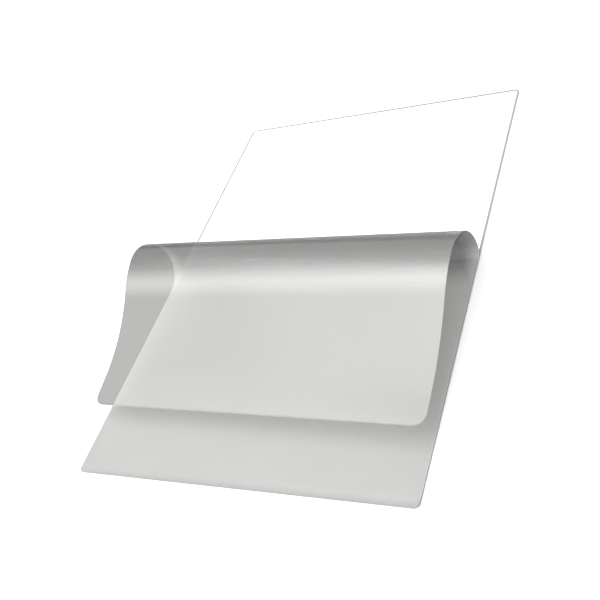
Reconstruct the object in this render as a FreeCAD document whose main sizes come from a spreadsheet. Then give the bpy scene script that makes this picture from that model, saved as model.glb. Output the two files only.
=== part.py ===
import FreeCAD, Part
import math
import os
import Sketcher

# A laminating pouch lies on its bottom film. The top film is welded to it
# along the near short edge, lies flat on it as far as the fold, rises there
# in a loop and comes back over itself, with its free edge in the air.
#
# In side view the loop is a chain of arcs that run smoothly into each other:
# the heel and the back rise from the fold, the crown goes over the top, the
# shoulder and the sag come down in front, and a straight lip ends it.
#
# The origin is under the middle of the pouch. X runs across the pouch, Y
# along it from the sealed edge to the open one, and Z is up.

# Driving dimensions, in millimetres and degrees
SIZES = {
    # Both films, as cut
    "pouch_width": 216.0,
    "pouch_length": 303.0,
    "bottom_thickness": 0.25,
    "top_thickness": 0.25,
    "corner_radius": 3.0,
    "free_corner_radius": 6.5,
    # The rear of the loop, which bends alike all the way across
    "heel_angle": 90.0,
    "back_radius": 27.0,
    "back_angle": 50.0,
    # The loop along the film's left edge. The crown, drop and lip angles say
    # how far below level the film points after the crown, where it is
    # steepest, and along the lip.
    "left_heel_radius": 18.4,
    "left_crown_radius": 19.5,
    "left_crown_angle": 14.2,
    "left_shoulder_radius": 64.0,
    "left_drop_angle": 32.2,
    "left_sag_radius": 130.0,
    "left_lip_angle": 6.7,
    "left_lip_length": 17.7,
    # The same along its right edge, where the loop is lower and squarer
    "right_heel_radius": 7.0,
    "right_crown_radius": 32.8,
    "right_crown_angle": 7.7,
    "right_shoulder_radius": 96.0,
    "right_drop_angle": 22.4,
    "right_sag_radius": 163.5,
    "right_lip_angle": 3.1,
    "right_lip_length": 11.2,
}

# The film's stretches in side view, from the seal to the free edge
STRETCHES = ("flat", "heel", "back", "crown", "shoulder", "sag", "lip")

# Each bent stretch's radius, and the angle in degrees that it turns through
RADIUS_RULES = {
    "heel": "dims.SIDE_heel_radius",
    "back": "dims.back_radius",
    "crown": "dims.SIDE_crown_radius",
    "shoulder": "dims.SIDE_shoulder_radius",
    "sag": "dims.SIDE_sag_radius",
}
TURN_RULES = {
    "heel": "dims.heel_angle",
    "back": "dims.back_angle",
    "crown": "180 + dims.SIDE_crown_angle - dims.heel_angle - dims.back_angle",
    "shoulder": "dims.SIDE_drop_angle - dims.SIDE_crown_angle",
    "sag": "dims.SIDE_drop_angle - dims.SIDE_lip_angle",
}

# How far the cut of a free corner runs past the film's edges
CUT_OVERRUN = 2.0

ORIGIN_PLANES = {"flat": "XY_Plane", "side": "YZ_Plane"}
START, END, CENTRE = 1, 2, 3
SKETCH_NORMAL = FreeCAD.Vector(0, 0, 1)


def make_sheet(doc):
    """Spreadsheet with one aliased cell for each driving dimension."""
    sheet = doc.addObject("Spreadsheet::Sheet", "dims")
    for row, (name, value) in enumerate(SIZES.items(), start=1):
        sheet.set("A%d" % row, name)
        sheet.set("B%d" % row, str(value))
        sheet.setAlias("B%d" % row, name)
    doc.recompute()
    return sheet


def origin_plane(body, which):
    """The body's own origin plane."""
    role = ORIGIN_PLANES[which]
    return next(o for o in body.Origin.OriginFeatures if o.Role == role)


def new_sketch(body, name, which):
    """Empty sketch on one of the body's origin planes."""
    sketch = body.newObject("Sketcher::SketchObject", name)
    sketch.AttachmentSupport = [(origin_plane(body, which), "")]
    sketch.MapMode = "FlatFace"
    return sketch


def link(sketch, kind, *where):
    """Add a constraint that has no size."""
    sketch.addConstraint(Sketcher.Constraint(kind, *where))


def bind(sketch, kind, where, value, name, expression):
    """Add a named constraint whose size follows the sheet."""
    index = sketch.addConstraint(Sketcher.Constraint(kind, *where, value))
    sketch.renameConstraint(index, name)
    sketch.setExpression("Constraints." + name, expression)


def edge_distance(edge, spot):
    """How far a short edge is from a place. A long edge counts as farther."""
    middle = edge.valueAt((edge.FirstParameter + edge.LastParameter) / 2)
    return middle.distanceToPoint(spot) + edge.Length


def round_corners(body, base, name, places, radius_name, doc):
    """Fillet the short upright edges of a film nearest to the given places."""
    doc.recompute()
    edges = base.Shape.Edges
    picked = []
    for place in places:
        spot = FreeCAD.Vector(*place)
        nearest = min(range(len(edges)), key=lambda i: edge_distance(edges[i], spot))
        picked.append("Edge%d" % (nearest + 1))
    fillet = body.newObject("PartDesign::Fillet", name)
    fillet.Base = (base, picked)
    fillet.setExpression("Radius", "dims." + radius_name)
    doc.recompute()
    return fillet


def bottom_film(doc, sheet):
    """Flat rounded rectangle that lies on the floor."""
    body = doc.addObject("PartDesign::Body", "BottomFilm")
    body.Label = "bottom_film"
    sketch = new_sketch(body, "BottomOutline", "flat")
    half_width = sheet.pouch_width / 2
    half_length = sheet.pouch_length / 2
    corners = [(-half_width, -half_length), (half_width, -half_length),
               (half_width, half_length), (-half_width, half_length)]
    points = [FreeCAD.Vector(x, y, 0) for x, y in corners]
    for i in range(4):
        sketch.addGeometry(Part.LineSegment(points[i], points[(i + 1) % 4]), False)
    for i in range(4):
        link(sketch, "Coincident", i, END, (i + 1) % 4, START)
    for i, direction in enumerate(("Horizontal", "Vertical", "Horizontal", "Vertical")):
        link(sketch, direction, i)
    # The rectangle is symmetric about the origin
    link(sketch, "Symmetric", 0, START, 2, START, -1, START)
    bind(sketch, "DistanceX", (0, START, 0, END), 2 * half_width, "width", "dims.pouch_width")
    bind(sketch, "DistanceY", (1, START, 1, END), 2 * half_length, "length", "dims.pouch_length")
    pad = body.newObject("PartDesign::Pad", "BottomSheet")
    pad.Profile = sketch
    pad.setExpression("Length", "dims.bottom_thickness")
    middle = sheet.bottom_thickness / 2
    places = [(x, y, middle) for x, y in corners]
    round_corners(body, pad, "BottomCorners", places, "corner_radius", doc)
    return body


def side_rule(rule, side):
    """A rule's expression for the film's left or right edge."""
    return "(" + rule.replace("SIDE", side) + ")"


def flat_length_rule(side):
    """Expression for what is left of the film's length once its loop is taken off."""
    bends = ["%s * %s * pi / 180" % (side_rule(RADIUS_RULES[name], side), side_rule(TURN_RULES[name], side))
             for name in RADIUS_RULES]
    return " - ".join(["dims.pouch_length", "dims.%s_lip_length" % side] + bends)


def along(heading):
    """Unit vector in the film's heading, counted from +Y towards +Z."""
    return FreeCAD.Vector(math.cos(heading), math.sin(heading), 0)


def inward(heading):
    """Unit vector to the loop's inside, square to that heading."""
    return FreeCAD.Vector(-math.sin(heading), math.cos(heading), 0)


def face_chain(sheet, side, depth):
    """One face of the film in side view: a line or arc for each stretch.

    The face lies depth inside the outer one, all round the loop. Arcs run
    counter-clockwise, so the sag's, which bends the other way, is drawn from
    the lip back to the shoulder."""
    place = FreeCAD.Vector(-sheet.pouch_length / 2, sheet.bottom_thickness, 0)
    heading = 0.0
    lengths = {"flat": sheet.evalExpression(flat_length_rule(side)),
               "lip": getattr(sheet, side + "_lip_length")}
    chain = []
    for name in STRETCHES:
        inset = inward(heading) * depth
        if name in lengths:
            end = place + along(heading) * lengths[name]
            chain.append(Part.LineSegment(place + inset, end + inset))
            place = end
            continue
        bend = -1 if name == "sag" else 1
        radius = sheet.evalExpression(side_rule(RADIUS_RULES[name], side))
        turn = math.radians(sheet.evalExpression(side_rule(TURN_RULES[name], side)))
        centre = place + inward(heading) * bend * radius
        circle = Part.Circle(centre, SKETCH_NORMAL, radius - bend * depth)
        next_heading = heading + bend * turn
        first, last = sorted((heading, next_heading))
        quarter_back = bend * math.pi / 2
        chain.append(Part.ArcOfCircle(circle, first - quarter_back, last - quarter_back))
        place = centre - inward(next_heading) * bend * radius
        heading = next_heading
    return chain


def near_end(name):
    """The end of a stretch's line or arc that faces the seal."""
    return END if name == "sag" else START


def far_end(name):
    """The end of a stretch's line or arc that faces the free edge."""
    return START if name == "sag" else END


def loop_sketch(body, sheet, side, offset_rule):
    """Closed thin outline of the top film in side view, along one long edge."""
    sketch = new_sketch(body, side.capitalize() + "Profile", "side")
    sketch.setExpression("AttachmentOffset.Base.z", offset_rule)
    outer_chain = face_chain(sheet, side, 0)
    inner_chain = face_chain(sheet, side, sheet.top_thickness)
    free_edge = Part.LineSegment(outer_chain[-1].EndPoint, inner_chain[-1].EndPoint)
    sealed_edge = Part.LineSegment(inner_chain[0].StartPoint, outer_chain[0].StartPoint)
    sketch.addGeometry(outer_chain + inner_chain + [free_edge, sealed_edge], False)
    count = len(STRETCHES)
    outer = dict(zip(STRETCHES, range(count)))
    inner = dict(zip(STRETCHES, range(count, 2 * count)))
    tip, seal = 2 * count, 2 * count + 1

    # Each stretch of a face runs smoothly into the next
    for face in (outer, inner):
        link(sketch, "Horizontal", face["flat"])
        for first, second in zip(STRETCHES, STRETCHES[1:]):
            link(sketch, "Tangent", face[first], far_end(first), face[second], near_end(second))
    # Both faces bend about the same centres and end along the same line
    for name in RADIUS_RULES:
        link(sketch, "Coincident", inner[name], CENTRE, outer[name], CENTRE)
    link(sketch, "Parallel", inner["lip"], outer["lip"])
    # Square ends at the free edge and the seal
    link(sketch, "Coincident", outer["lip"], END, tip, START)
    link(sketch, "Coincident", tip, END, inner["lip"], END)
    link(sketch, "Perpendicular", tip, outer["lip"])
    link(sketch, "Coincident", inner["flat"], START, seal, START)
    link(sketch, "Coincident", seal, END, outer["flat"], START)
    link(sketch, "Vertical", seal)

    start = outer_chain[0].StartPoint
    bind(sketch, "DistanceX", (outer["flat"], START, -1, START), -start.x,
         "seal_place", "dims.pouch_length / 2")
    bind(sketch, "DistanceY", (-1, START, outer["flat"], START), start.y,
         "lie_height", "dims.bottom_thickness")
    bind(sketch, "DistanceX", (outer["flat"], START, outer["flat"], END), outer_chain[0].length(),
         "flat_length", flat_length_rule(side))
    bind(sketch, "Distance", (outer["lip"],), outer_chain[-1].length(),
         "lip_length", "dims.%s_lip_length" % side)
    for name in RADIUS_RULES:
        arc = outer_chain[outer[name]]
        bind(sketch, "Radius", (outer[name],), arc.Radius,
             name + "_radius", side_rule(RADIUS_RULES[name], side))
        bind(sketch, "Angle", (outer[name],), arc.LastParameter - arc.FirstParameter,
             name + "_turn", side_rule(TURN_RULES[name], side) + " * 1 deg")
    bind(sketch, "Radius", (inner["heel"],), inner_chain[outer["heel"]].Radius,
         "inner_heel_radius", side_rule(RADIUS_RULES["heel"], side) + " - dims.top_thickness")
    # How far along the pouch the free edge comes back, measured off the solved profile
    reach = sketch.addConstraint(Sketcher.Constraint("DistanceX", -1, START, outer["lip"], END,
                                                     outer_chain[-1].EndPoint.x))
    sketch.renameConstraint(reach, "reach")
    sketch.setDriving(reach, False)
    return sketch


def free_corner_cut(body, sheet, left, right):
    """Rounds the free edge's two corners by a cut straight up, seen from above.

    Each cut's arc meets the film's side and its free edge smoothly, and the
    cut starts above the part of the film that lies flat."""
    sketch = new_sketch(body, "FreeCornerCut", "flat")
    sketch.setExpression("AttachmentOffset.Base.z",
                         "dims.bottom_thickness + 2 * dims.top_thickness")
    radius = sheet.free_corner_radius
    tips = [FreeCAD.Vector(sign * sheet.pouch_width / 2, profile.getDatum("reach").Value, 0)
            for sign, profile in ((-1, left), (1, right))]
    # The free edge's own line is only a guide
    guide = sketch.addGeometry(Part.LineSegment(*tips), True)
    sides = (("left", -1, left, START), ("right", 1, right, END))
    for (side, sign, profile, tip_end), tip in zip(sides, tips):
        centre = tip + FreeCAD.Vector(-sign * radius, radius, 0)
        flank = centre + FreeCAD.Vector(sign * radius, 0, 0)
        foot = centre - FreeCAD.Vector(0, radius, 0)
        waste = tip + FreeCAD.Vector(sign * CUT_OVERRUN, -CUT_OVERRUN, 0)
        first, flank_end, foot_end = (math.pi, START, END) if sign < 0 else (1.5 * math.pi, END, START)
        quarter = Part.ArcOfCircle(Part.Circle(centre, SKETCH_NORMAL, radius), first, first + math.pi / 2)
        arc = sketch.addGeometry(quarter, False)
        outer_line = sketch.addGeometry(Part.LineSegment(flank, waste), False)
        lower_line = sketch.addGeometry(Part.LineSegment(waste, foot), False)
        link(sketch, "Coincident", arc, flank_end, outer_line, START)
        link(sketch, "Coincident", outer_line, END, lower_line, START)
        link(sketch, "Coincident", lower_line, END, arc, foot_end)
        link(sketch, "Horizontal", arc, CENTRE, arc, flank_end)
        link(sketch, "Vertical", arc, flank_end, guide, tip_end)
        link(sketch, "Tangent", arc, foot_end, guide)
        bind(sketch, "Radius", (arc,), radius, side + "_radius", "dims.free_corner_radius")
        bind(sketch, "DistanceX", (-1, START, guide, tip_end), tip.x,
             side + "_side", "%d * dims.pouch_width / 2" % sign)
        bind(sketch, "DistanceY", (-1, START, guide, tip_end), tip.y,
             side + "_reach", profile.Name + ".Constraints.reach")
        for kind, length in (("DistanceX", sign * CUT_OVERRUN), ("DistanceY", -CUT_OVERRUN)):
            link(sketch, kind, guide, tip_end, outer_line, END, length)
    pocket = body.newObject("PartDesign::Pocket", "FreeCorners")
    pocket.Profile = sketch
    pocket.Type = "ThroughAll"
    pocket.Reversed = True
    return pocket


def top_film(doc, sheet):
    """The turned-back film: a ruled loft between its two long edges' profiles."""
    body = doc.addObject("PartDesign::Body", "TopFilm")
    body.Label = "top_film"
    left = loop_sketch(body, sheet, "left", "-dims.pouch_width / 2")
    right = loop_sketch(body, sheet, "right", "dims.pouch_width / 2")
    loft = body.newObject("PartDesign::AdditiveLoft", "TurnedBackSheet")
    loft.Profile = left
    loft.Sections = [right]
    loft.Ruled = True
    doc.recompute()
    free_corners = free_corner_cut(body, sheet, left, right)
    half_width = sheet.pouch_width / 2
    seal_height = sheet.bottom_thickness + sheet.top_thickness / 2
    seal_places = [(x, -sheet.pouch_length / 2, seal_height) for x in (-half_width, half_width)]
    round_corners(body, free_corners, "SealedCorners", seal_places, "corner_radius", doc)
    return body


def check(doc, bodies):
    """Stop where an object failed or a sub-part is not one valid solid."""
    for item in doc.Objects:
        if "Invalid" in item.State or "Error" in item.State:
            raise RuntimeError("%s failed: %s" % (item.Name, item.State))
    for body in bodies:
        shape = body.Shape
        if shape.isNull() or not shape.isValid() or len(shape.Solids) != 1:
            raise RuntimeError("%s is not one valid solid" % body.Label)


def main():
    doc = FreeCAD.newDocument("laminating_pouch")
    sheet = make_sheet(doc)
    bodies = [bottom_film(doc, sheet), top_film(doc, sheet)]
    doc.recompute()
    check(doc, bodies)
    os.makedirs("parts", exist_ok=True)
    for body in bodies:
        body.Shape.exportStep("parts/%s.step" % body.Label)
        box = body.Shape.BoundBox
        print(body.Label, "volume %.1f" % body.Shape.Volume,
              "box %.2f %.2f %.2f to %.2f %.2f %.2f"
              % (box.XMin, box.YMin, box.ZMin, box.XMax, box.YMax, box.ZMax))


main()
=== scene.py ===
import math

import bpy
from mathutils import Matrix, Vector

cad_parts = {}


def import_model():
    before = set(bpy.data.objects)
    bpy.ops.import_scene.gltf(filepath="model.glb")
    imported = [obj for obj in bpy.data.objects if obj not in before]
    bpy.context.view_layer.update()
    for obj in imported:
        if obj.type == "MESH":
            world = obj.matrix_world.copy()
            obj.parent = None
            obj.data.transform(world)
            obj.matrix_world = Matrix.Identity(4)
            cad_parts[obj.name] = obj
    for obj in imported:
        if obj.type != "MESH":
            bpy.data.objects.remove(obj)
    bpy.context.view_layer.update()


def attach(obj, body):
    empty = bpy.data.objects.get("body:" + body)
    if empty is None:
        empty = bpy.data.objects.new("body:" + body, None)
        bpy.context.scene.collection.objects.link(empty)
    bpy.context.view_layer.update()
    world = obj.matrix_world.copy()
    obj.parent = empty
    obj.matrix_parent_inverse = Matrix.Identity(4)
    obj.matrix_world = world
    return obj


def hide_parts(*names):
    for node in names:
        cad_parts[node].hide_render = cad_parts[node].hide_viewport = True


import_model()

# The pouch's sizes, in metres, as in the part's source
WIDTH = 0.216
LENGTH = 0.303
BOTTOM_THICKNESS = 0.00025
TOP_THICKNESS = 0.00025
CORNER_RADIUS = 0.003
FREE_CORNER_RADIUS = 0.0065

# The loop's side view along the film's left and right edges, as in the part's source
LEFT_LOOP = {
    "heel": 0.0184, "back": 0.027, "crown": 0.0195, "shoulder": 0.064, "sag": 0.130, "lip": 0.0177,
    "heel_angle": 90.0, "back_angle": 50.0, "crown_angle": 14.2, "drop_angle": 32.2, "lip_angle": 6.7,
}
RIGHT_LOOP = {
    "heel": 0.0070, "back": 0.027, "crown": 0.0328, "shoulder": 0.096, "sag": 0.1635, "lip": 0.0112,
    "heel_angle": 90.0, "back_angle": 50.0, "crown_angle": 7.7, "drop_angle": 22.4, "lip_angle": 3.1,
}

# How finely the film's mesh follows each stretch, and its steps across the pouch
STRETCH_STEPS = {"flat": 24, "heel": 20, "back": 16, "crown": 36, "shoulder": 16, "sag": 28, "lip": 10}
CORNER_STEPS = 8
ACROSS_STEP = 0.003

# Width of each film's rim, where its cut edge shows
RIM = 0.0006
CLEAR_RIM = 0.0013

# Material slots of the turned-back film, and of the clear one
OUTER_SLOT, INNER_SLOT, RIM_SLOT, EDGE_SLOT = range(4)
CLEAR_FACE_SLOT, CLEAR_RIM_SLOT = range(2)

# The floor lies a hair under the film
FLOOR_SIZE = 1.6
FLOOR_DROP = 0.0002
# Painted shade: the dark grey the floor shows under the frosted film, which bounced light also sees, and
# the grey it shows where the clear film lies between
FLOOR_GREY_AND_PAINTED_SHADE = 0.03
FLOOR_PAINTED_SHADE_UNDER_CLEAR = 0.09
FLOOR_WHITE = 0.95
FLOOR_GLOW = 0.2
# The floor counts as bare where fewer transparent surfaces than this lie above it
BARE_BELOW = 0.5

# Each kind of film surface: how much it covers, its grey, its roughness and its gloss level
SEALING_FACE = (0.29, 0.56, 0.2, 1.0)
GLOSS_FACE = (0.385, 0.95, 0.3, 0.5)
FROSTED_EDGE = (0.8, 0.8, 0.4, 0.5)
CLEAR_EDGE = (1.0, 0.47, 0.4, 0.5)

# Film tint, as a share of red, green and blue
FILM_TINT = (1.0, 1.0, 0.98)

# Unevenness of the frosted plastic: how finely its roughness and its grey vary, and by what share
FINE_NOISE = 900.0
BROAD_NOISE = 14.0
NOISE_DETAIL = 3.0
ROUGHNESS_SPREAD = 0.1
GREY_SPREAD = 0.015

# The clear film: its refraction, and how finely and how far its roughness varies
CLEAR_IOR = 1.3
CLEAR_NOISE = 20.0
CLEAR_ROUGHNESS = 0.03

# Painted shade over the loop's bend: these shares of the faces' greys are left there, and this is
# how far from the seal, in metres, it sets in and ends
SEALING_PAINTED_SHADE_SHARE = 0.88
GLOSS_PAINTED_SHADE_SHARE = 0.27
PAINTED_SHADE_BEGINS = (0.130, 0.155)
PAINTED_SHADE_ENDS = (0.203, 0.2235)
# Painted light from the open sides: the painted shade is lifted at the back of the loop, this far out
# from the middle and up to this far from the seal
PAINTED_SIDE_LIGHT = (0.096, 0.108)
PAINTED_SIDE_LIGHT_ENDS = (0.182, 0.198)

# The painted highlight, a pale band painted across the steepest part of the turned-back film: its grey,
# and how far from the seal it begins, peaks and ends
PAINTED_HIGHLIGHT_GREY = 1.0
PAINTED_HIGHLIGHT = (0.212, 0.224, 0.234)

# The camera, worked out from the pouch's four corners in the photograph
CAMERA_PLACE = Vector((0.25421, -0.29191, 0.32339))
CAMERA_TARGET = Vector((0.01146, -0.01486, 0.0))
CAMERA_ROLL = math.radians(-32.393)
CAMERA_LENS = 47.997
CAMERA_SHIFT = (-0.0376, -0.0238)
SENSOR_WIDTH = 36.0
CLIP_START = 0.01

# How brightly the surroundings light the pouch
WORLD_LEVEL = 0.02

# Each soft lamp: azimuth from the front towards the left, elevation, distance, width, height,
# and how brightly it lights a white surface that faces it
LAMPS = {
    "overhead": (0, 90, 2.0, 1.4, 1.4, 0.32),
    "overhead_left": (90, 74, 2.0, 1.3, 1.3, 0.31),
    "front": (0, 48, 2.0, 1.8, 2.2, 0.38),
    "front_left": (30, 45, 2.0, 1.4, 1.4, 0.23),
    "front_low": (0, 20, 2.0, 1.8, 1.0, 0.22),
    "left": (75, 50, 2.0, 2.0, 2.0, 0.16),
    "left_low": (70, 22, 2.0, 2.0, 1.0, 0.14),
    "back_left": (140, 36, 2.0, 1.8, 1.6, 0.26),
    "right": (-90, 16, 2.0, 1.8, 0.8, 0.04),
}


def along(heading):
    """Unit vector in the film's heading, as (y, z), counted from +Y towards +Z."""
    return Vector((math.cos(heading), math.sin(heading)))


def inward(heading):
    """Unit vector to the loop's inside, square to that heading."""
    return Vector((-math.sin(heading), math.cos(heading)))


def bends(loop):
    """Each bent stretch's radius and the angle that it turns through, below zero in the sag."""
    turns = {
        "heel": loop["heel_angle"],
        "back": loop["back_angle"],
        "crown": 180 + loop["crown_angle"] - loop["heel_angle"] - loop["back_angle"],
        "shoulder": loop["drop_angle"] - loop["crown_angle"],
        "sag": loop["lip_angle"] - loop["drop_angle"],
    }
    return {name: (loop[name], math.radians(turn)) for name, turn in turns.items()}


def side_view(loop, depth, seal_loss, tip_loss):
    """Places on one face of the film in side view, from the seal to the free edge.

    Each is (y, z, distance from the seal along the film). The face lies depth
    inside the outer one. Both sides of the pouch get as many places, so that
    they pair up. The losses are what a round corner takes off the film's two
    ends there."""
    parts = bends(loop)
    used = sum(radius * abs(turn) for radius, turn in parts.values()) + loop["lip"]
    lengths = {"flat": LENGTH - used, "lip": loop["lip"]}
    place, heading, passed = Vector((-LENGTH / 2, BOTTOM_THICKNESS)), 0.0, 0.0
    places = []
    for name, steps in STRETCH_STEPS.items():
        shares = [i / steps for i in range(0 if name == "flat" else 1, steps + 1)]
        if name in lengths:
            length = lengths[name]
            first = seal_loss if name == "flat" else 0.0
            last = length - (tip_loss if name == "lip" else 0.0)
            inset = inward(heading) * depth
            for share in shares:
                run = first + (last - first) * share
                places.append(Vector((*(place + along(heading) * run + inset), passed + run)))
            place = place + along(heading) * length
            passed += length
        else:
            radius, turn = parts[name]
            signed = math.copysign(radius, turn)
            centre = place + inward(heading) * signed
            for share in shares:
                spot = centre - inward(heading + turn * share) * (signed - depth)
                places.append(Vector((*spot, passed + radius * abs(turn) * share)))
            place = centre - inward(heading + turn) * signed
            heading += turn
            passed += radius * abs(turn)
    return places


def corner_loss(inset, radius):
    """How much a round corner shortens the film, that far in from its long edge."""
    if inset >= radius:
        return 0.0
    return radius - math.sqrt(radius ** 2 - (radius - inset) ** 2)


def film_columns():
    """Places across the pouch where the film's mesh has its columns."""
    insets = {0.0, RIM}
    for radius in (CORNER_RADIUS, FREE_CORNER_RADIUS):
        insets |= {radius * (1 - math.sin(math.pi / 2 * i / CORNER_STEPS)) for i in range(CORNER_STEPS)}
    middle = WIDTH / 2 - FREE_CORNER_RADIUS
    count = round(middle / ACROSS_STEP)
    right = [WIDTH / 2 - inset for inset in insets] + [middle * i / count for i in range(1, count)]
    return sorted([-x for x in right] + [0.0] + right)


def film_face(columns, depth):
    """Rows of places on one face of the top film, from the seal to the free edge.

    Each is (x, y, z, distance from the seal along the film)."""
    rows = []
    for x in columns:
        inset = WIDTH / 2 - abs(x)
        losses = (corner_loss(inset, CORNER_RADIUS), corner_loss(inset, FREE_CORNER_RADIUS))
        share = 0.5 + x / WIDTH
        left, right = side_view(LEFT_LOOP, depth, *losses), side_view(RIGHT_LOOP, depth, *losses)
        rows.append([(x, *a.lerp(b, share)) for a, b in zip(left, right)])
    return [place for row in zip(*rows) for place in row]


def build_mesh(name, points, faces, slots, materials, smooth_slots, sheet=None):
    """Mesh object whose faces in the given material slots are smooth.

    sheet is each point's place on the flat sheet, which becomes its UV."""
    mesh = bpy.data.meshes.new(name)
    mesh.from_pydata(points, [], faces)
    for material in materials:
        mesh.materials.append(material)
    mesh.polygons.foreach_set("material_index", slots)
    mesh.polygons.foreach_set("use_smooth", [slot in smooth_slots for slot in slots])
    if sheet:
        flat = mesh.uv_layers.new(name="sheet")
        flat.data.foreach_set("uv", [value for loop in mesh.loops for value in sheet[loop.vertex_index]])
    mesh.update()
    piece = bpy.data.objects.new(name, mesh)
    bpy.context.scene.collection.objects.link(piece)
    return piece


def top_film(outer_face, inner_face, rim):
    """The turned-back film as one closed thin solid, smooth on both faces."""
    columns = film_columns()
    outer = film_face(columns, 0.0)
    inner = film_face(columns, TOP_THICKNESS)
    width, under = len(columns), len(outer)
    last_row = under - width
    quads = []
    for row in range(0, last_row, width):
        for column in range(width - 1):
            a, b = row + column, row + column + 1
            at_rim = column in (0, width - 2)
            outer_slot = RIM_SLOT if at_rim else OUTER_SLOT
            inner_slot = RIM_SLOT if at_rim else INNER_SLOT
            quads.append(((a, a + width, b + width, b), outer_slot))
            quads.append(((a + under, b + under, b + width + under, a + width + under), inner_slot))
        a, b = row, row + width - 1
        quads.append(((a, a + under, a + width + under, a + width), EDGE_SLOT))
        quads.append(((b, b + width, b + width + under, b + under), EDGE_SLOT))
    for column in range(width - 1):
        a, b = column, last_row + column
        quads.append(((a, a + 1, a + 1 + under, a + under), EDGE_SLOT))
        quads.append(((b, b + under, b + 1 + under, b + 1), EDGE_SLOT))
    faces, slots = zip(*quads)
    places = outer + inner
    points = [(x, y, z) for x, y, z, run in places]
    sheet = [(x, run) for x, y, z, run in places]
    materials = [outer_face, inner_face, rim, rim]
    smooth_slots = (OUTER_SLOT, INNER_SLOT, RIM_SLOT)
    return build_mesh("turned_back_film", points, faces, slots, materials, smooth_slots, sheet)


def rounded_outline(inset):
    """Corner points of the bottom film's outline, drawn in by inset."""
    radius = CORNER_RADIUS - inset
    points = []
    for sx, sy, begin in ((1, -1, -90), (1, 1, 0), (-1, 1, 90), (-1, -1, 180)):
        cx, cy = sx * (WIDTH / 2 - CORNER_RADIUS), sy * (LENGTH / 2 - CORNER_RADIUS)
        for i in range(CORNER_STEPS + 1):
            turn = math.radians(begin + 90 * i / CORNER_STEPS)
            points.append((cx + radius * math.cos(turn), cy + radius * math.sin(turn)))
    return points


def bottom_film(face, rim):
    """The clear film: a flat rounded plate with a narrow rim all round."""
    points, rings = [], []
    for inset, z in ((CLEAR_RIM, 0.0), (0.0, 0.0), (0.0, BOTTOM_THICKNESS), (CLEAR_RIM, BOTTOM_THICKNESS)):
        outline = rounded_outline(inset)
        rings.append(range(len(points), len(points) + len(outline)))
        points += [(x, y, z) for x, y in outline]
    faces = [tuple(reversed(rings[0])), tuple(rings[3])]
    slots = [CLEAR_FACE_SLOT, CLEAR_FACE_SLOT]
    for lower, upper in zip(rings, rings[1:]):
        for i in range(len(lower)):
            j = (i + 1) % len(lower)
            faces.append((lower[i], lower[j], upper[j], upper[i]))
            slots.append(CLEAR_RIM_SLOT)
    return build_mesh("clear_film", points, faces, slots, [face, rim], ())


def new_material(name):
    """Material, its node tree and its shader."""
    material = bpy.data.materials.new(name)
    material.use_nodes = True
    shader = material.node_tree.nodes["Principled BSDF"]
    return material, material.node_tree, shader


def add_noise(tree, scale):
    """Noise in the object's own coordinates."""
    place = tree.nodes.new("ShaderNodeTexCoord")
    noise = tree.nodes.new("ShaderNodeTexNoise")
    noise.inputs["Scale"].default_value = scale
    noise.inputs["Detail"].default_value = NOISE_DETAIL
    tree.links.new(place.outputs["Object"], noise.inputs["Vector"])
    return noise.outputs["Fac"]


def math_node(tree, operation, first, second):
    """Math node on two values, each a socket or a number."""
    node = tree.nodes.new("ShaderNodeMath")
    node.operation = operation
    for slot, value in enumerate((first, second)):
        if isinstance(value, (int, float)):
            node.inputs[slot].default_value = value
        else:
            tree.links.new(value, node.inputs[slot])
    return node.outputs[0]


def ranged(tree, value, low, high):
    """Maps a 0 to 1 value to the range from low to high."""
    node = tree.nodes.new("ShaderNodeMapRange")
    node.inputs["To Min"].default_value = low
    node.inputs["To Max"].default_value = high
    tree.links.new(value, node.inputs["Value"])
    return node.outputs["Result"]


def grey_between(tree, value, low, high, tint=(1.0, 1.0, 1.0)):
    """Colour between two greys of one tint."""
    ramp = tree.nodes.new("ShaderNodeMix")
    ramp.data_type = "RGBA"
    ramp.inputs["A"].default_value = (*(low * share for share in tint), 1)
    ramp.inputs["B"].default_value = (*(high * share for share in tint), 1)
    tree.links.new(value, ramp.inputs["Factor"])
    return ramp.outputs["Result"]


def smooth_range(tree, value, begin, end, low, high):
    """Smooth change from low to high while value runs from begin to end."""
    node = tree.nodes.new("ShaderNodeMapRange")
    node.interpolation_type = "SMOOTHSTEP"
    for name, number in (("From Min", begin), ("From Max", end), ("To Min", low), ("To Max", high)):
        node.inputs[name].default_value = number
    tree.links.new(value, node.inputs["Value"])
    return node.outputs["Result"]


def sheet_place(tree):
    """Distance out from the middle line and distance from the seal, read from the sheet's UV."""
    sheet = tree.nodes.new("ShaderNodeUVMap")
    sheet.uv_map = "sheet"
    split = tree.nodes.new("ShaderNodeSeparateXYZ")
    tree.links.new(sheet.outputs["UV"], split.inputs["Vector"])
    return math_node(tree, "ABSOLUTE", split.outputs["X"], 0.0), split.outputs["Y"]


def painted_shade_share(tree, out, run, least):
    """Share of the film's grey that is left at each place on the sheet: painted shade over the bend,
    lifted by painted light near the open sides.
    """
    before = smooth_range(tree, run, *PAINTED_SHADE_BEGINS, 1.0, least)
    after = smooth_range(tree, run, *PAINTED_SHADE_ENDS, least, 1.0)
    # Painted light near the open sides lifts the painted shade
    side = smooth_range(tree, out, *PAINTED_SIDE_LIGHT, least, 1.0)
    side = math_node(tree, "MINIMUM", side, smooth_range(tree, run, *PAINTED_SIDE_LIGHT_ENDS, 1.0, least))
    return math_node(tree, "MAXIMUM", math_node(tree, "MAXIMUM", before, after), side)


def painted_highlight_share(tree, run, extra):
    """One, and up to extra more where the painted highlight peaks."""
    begin, peak, end = PAINTED_HIGHLIGHT
    rise = smooth_range(tree, run, begin, peak, 1.0, 1.0 + extra)
    fall = smooth_range(tree, run, peak, end, 1.0 + extra, 1.0)
    return math_node(tree, "MINIMUM", rise, fall)


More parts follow.
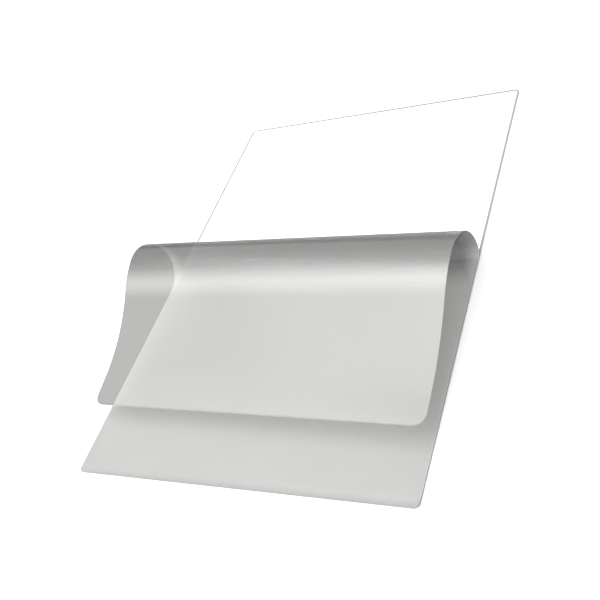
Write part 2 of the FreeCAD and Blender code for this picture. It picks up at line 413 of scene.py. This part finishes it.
def film_material(name, alpha, grey, roughness, specular, painted_shade=None, painted_highlight=None):
    """Thin plastic that part of the light passes straight through.

    painted_shade is the share of its grey that is left in the painted shade over the
    bend, and painted_highlight the grey of the painted highlight across the steepest part."""
    material, tree, shader = new_material(name)
    fine = add_noise(tree, FINE_NOISE)
    broad = add_noise(tree, BROAD_NOISE)
    rough = ranged(tree, fine, roughness * (1 - ROUGHNESS_SPREAD), roughness * (1 + ROUGHNESS_SPREAD))
    value = ranged(tree, broad, grey * (1 - GREY_SPREAD), grey * (1 + GREY_SPREAD))
    # Painted shade over the bend, and the painted highlight, are multiplied into the grey
    if painted_shade:
        out, run = sheet_place(tree)
        value = math_node(tree, "MULTIPLY", value, painted_shade_share(tree, out, run, painted_shade))
        # The painted highlight raises the grey across the steepest part
        if painted_highlight:
            value = math_node(tree, "MULTIPLY", value, painted_highlight_share(tree, run, painted_highlight / grey - 1.0))
    tree.links.new(grey_between(tree, value, 0.0, 1.0, FILM_TINT), shader.inputs["Base Color"])
    tree.links.new(rough, shader.inputs["Roughness"])
    shader.inputs["Alpha"].default_value = alpha
    shader.inputs["Specular IOR Level"].default_value = specular
    return material


def clear_material():
    """Clear polyester with a faint unevenness in its gloss."""
    material, tree, shader = new_material("clear_film")
    shader.inputs["Base Color"].default_value = (1, 1, 1, 1)
    shader.inputs["Transmission Weight"].default_value = 1.0
    shader.inputs["IOR"].default_value = CLEAR_IOR
    broad = add_noise(tree, CLEAR_NOISE)
    tree.links.new(ranged(tree, broad, 0.0, CLEAR_ROUGHNESS), shader.inputs["Roughness"])
    # Lamps shine through the clear film as through a window
    path = tree.nodes.new("ShaderNodeLightPath")
    window = tree.nodes.new("ShaderNodeBsdfTransparent")
    mix = tree.nodes.new("ShaderNodeMixShader")
    out = tree.nodes["Material Output"]
    tree.links.new(path.outputs["Is Shadow Ray"], mix.inputs["Fac"])
    tree.links.new(shader.outputs[0], mix.inputs[1])
    tree.links.new(window.outputs[0], mix.inputs[2])
    tree.links.new(mix.outputs[0], out.inputs["Surface"])
    return material


def floor_material():
    """Pale floor: white where it is seen bare, in gloss or through clear film.

    Under the frosted film it is painted dark, painted shade under the film, less
    dark where the clear film lies between the two."""
    material = bpy.data.materials.new("floor")
    material.use_nodes = True
    tree = material.node_tree
    tree.nodes.clear()
    out = tree.nodes.new("ShaderNodeOutputMaterial")
    path = tree.nodes.new("ShaderNodeLightPath")
    # Under the frosted film the white is withheld, painting shade under the film
    uncovered = math_node(tree, "LESS_THAN", path.outputs["Transparent Depth"], BARE_BELOW)
    mirrored = math_node(tree, "ADD", path.outputs["Is Glossy Ray"], path.outputs["Is Transmission Ray"])
    seen = math_node(tree, "ADD", path.outputs["Is Camera Ray"], mirrored)
    white = math_node(tree, "MULTIPLY", seen, uncovered)
    covered = ranged(tree, path.outputs["Is Transmission Ray"], FLOOR_GREY_AND_PAINTED_SHADE, FLOOR_PAINTED_SHADE_UNDER_CLEAR)
    tone = math_node(tree, "MAXIMUM", math_node(tree, "MULTIPLY", white, FLOOR_WHITE), covered)
    diffuse = tree.nodes.new("ShaderNodeBsdfDiffuse")
    tree.links.new(grey_between(tree, tone, 0.0, 1.0), diffuse.inputs["Color"])
    glow = tree.nodes.new("ShaderNodeEmission")
    tree.links.new(math_node(tree, "MULTIPLY", white, FLOOR_GLOW), glow.inputs["Strength"])
    both = tree.nodes.new("ShaderNodeAddShader")
    tree.links.new(diffuse.outputs[0], both.inputs[0])
    tree.links.new(glow.outputs[0], both.inputs[1])
    tree.links.new(both.outputs[0], out.inputs["Surface"])
    return material


def floor():
    """Level square floor round the pouch."""
    half = FLOOR_SIZE / 2
    corners = [(-half, -half), (half, -half), (half, half), (-half, half)]
    mesh = bpy.data.meshes.new("floor")
    mesh.from_pydata([(x, y, -FLOOR_DROP) for x, y in corners], [], [(0, 1, 2, 3)])
    mesh.materials.append(floor_material())
    plane = bpy.data.objects.new("floor", mesh)
    bpy.context.scene.collection.objects.link(plane)


def world(level):
    """Even pale surroundings that the camera sees as white."""
    scene = bpy.context.scene
    scene.world = bpy.data.worlds.new("studio")
    scene.world.use_nodes = True
    tree = scene.world.node_tree
    background = tree.nodes["Background"]
    background.inputs["Color"].default_value = (1, 1, 1, 1)
    path = tree.nodes.new("ShaderNodeLightPath")
    strength = tree.nodes.new("ShaderNodeMapRange")
    strength.inputs["To Min"].default_value = level
    strength.inputs["To Max"].default_value = 1.0
    tree.links.new(path.outputs["Is Camera Ray"], strength.inputs["Value"])
    tree.links.new(strength.outputs["Result"], background.inputs["Strength"])


def lamp(name, azimuth, elevation, distance, width, height, level):
    """Soft lamp that faces the pouch from that side."""
    light = bpy.data.lights.new(name, "AREA")
    light.shape = "RECTANGLE"
    light.size, light.size_y = width, height
    light.energy = level * (math.pi * distance) ** 2
    azimuth, elevation = math.radians(azimuth), math.radians(elevation)
    place = Vector((-math.sin(azimuth) * math.cos(elevation),
                    -math.cos(azimuth) * math.cos(elevation),
                    math.sin(elevation))) * distance
    item = bpy.data.objects.new(name, light)
    item.location = place
    item.rotation_euler = (-place).to_track_quat("-Z", "Y").to_euler()
    bpy.context.scene.collection.objects.link(item)


def camera():
    """The photograph's view."""
    data = bpy.data.cameras.new("camera")
    data.sensor_width = SENSOR_WIDTH
    data.lens = CAMERA_LENS
    data.shift_x, data.shift_y = CAMERA_SHIFT
    data.clip_start = CLIP_START
    item = bpy.data.objects.new("camera", data)
    look = (CAMERA_TARGET - CAMERA_PLACE).to_track_quat("-Z", "Y").to_matrix().to_4x4()
    item.matrix_world = Matrix.Translation(CAMERA_PLACE) @ look @ Matrix.Rotation(CAMERA_ROLL, 4, "Z")
    bpy.context.scene.collection.objects.link(item)
    bpy.context.scene.camera = item


bpy.context.scene.view_settings.view_transform = "Standard"
camera()
world(WORLD_LEVEL)
for lamp_name, lamp_values in LAMPS.items():
    lamp(lamp_name, *lamp_values)
floor()

# The sealing face carries painted shade over the bend and a painted highlight; the gloss face carries
# painted shade over the bend
sealing_face = film_material("frosted_sealing_face", *SEALING_FACE, SEALING_PAINTED_SHADE_SHARE, PAINTED_HIGHLIGHT_GREY)
gloss_face = film_material("frosted_gloss_face", *GLOSS_FACE, GLOSS_PAINTED_SHADE_SHARE)
cut_edge = film_material("frosted_edge", *FROSTED_EDGE)
clear = clear_material()
clear_edge = film_material("clear_edge", *CLEAR_EDGE)

top = top_film(sealing_face, gloss_face, cut_edge)
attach(top, "root")
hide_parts("top_film")

bottom = bottom_film(clear, clear_edge)
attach(bottom, "root")
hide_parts("bottom_film")
